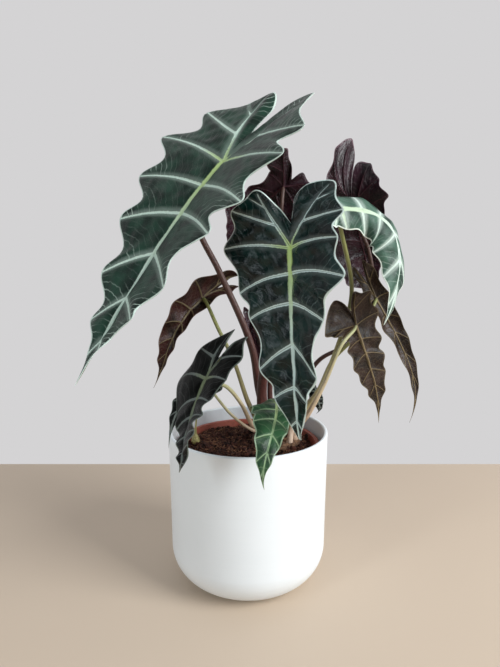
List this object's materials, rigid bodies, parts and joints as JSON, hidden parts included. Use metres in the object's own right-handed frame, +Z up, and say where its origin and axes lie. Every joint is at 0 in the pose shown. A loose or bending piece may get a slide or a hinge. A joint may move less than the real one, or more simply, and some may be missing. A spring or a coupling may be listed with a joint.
{
  "type": "potted alocasia",
  "caption": "Potted alocasia: arrow-shaped dark leaves with pale veins on long stalks, standing in a white cylindrical cover pot.",
  "frame": {"origin": "centre of the cover pot's underside, on the surface it stands on", "axes": "+Z up, -Y towards the plant's front, where the broad front leaf faces"},
  "size_m": [0.2837, 0.1905, 0.4303],
  "materials": {
    "white_ceramic": "satin white glaze",
    "terracotta_plastic": "terracotta-red moulded plastic",
    "peat_mix": "fibrous reddish-brown potting mix",
    "corm_skin": "dry papery brown",
    "leaf_top": "glossy near-black green with pale mint veins and edge",
    "leaf_underside": "dark maroon-brown leaf underside with olive ribs",
    "leaf_young": "fresh mid-green young leaf",
    "petiole_maroon": "maroon-brown mottled stalk",
    "petiole_olive": "olive-green stalk",
    "petiole_pink": "pale green-pink stalk",
    "sheath": "thin papery pink-beige sheath"
  },
  "bodies": {
    "root": {"cover_pot": "white_ceramic", "nursery_pot": "terracotta_plastic", "potting_mix": "peat_mix", "corm": "corm_skin", "leaf_tall_left_blade": "leaf_top", "leaf_tall_left_petiole": "petiole_maroon", "leaf_front_blade": "leaf_top", "leaf_front_petiole": "petiole_maroon", "leaf_right_arch_blade": "leaf_top", "leaf_right_arch_petiole": "petiole_olive", "leaf_back_right_blade": "leaf_underside", "leaf_back_right_petiole": "petiole_maroon", "leaf_back_centre_blade": "leaf_underside", "leaf_back_centre_petiole": "petiole_maroon", "leaf_left_blade": "leaf_underside", "leaf_left_petiole": "petiole_olive", "leaf_lower_left_blade": "leaf_top", "leaf_lower_left_petiole": "petiole_pink", "leaf_lower_left_rear_blade": "leaf_top", "leaf_lower_left_rear_petiole": "petiole_pink", "leaf_lower_right_blade": "leaf_underside", "leaf_lower_right_petiole": "petiole_pink", "leaf_right_hanging_blade": "leaf_underside", "leaf_right_hanging_petiole": "petiole_olive", "leaf_over_rim_blade": "leaf_young", "leaf_over_rim_petiole": "petiole_pink", "leaf_small_centre_blade": "leaf_underside", "leaf_small_centre_petiole": "petiole_maroon", "leaf_small_curled_blade": "leaf_top", "leaf_small_curled_petiole": "petiole_pink", "sheath_front": "sheath", "sheath_right": "sheath", "offset_shoot": "petiole_olive"}
  },
  "joints": []
}
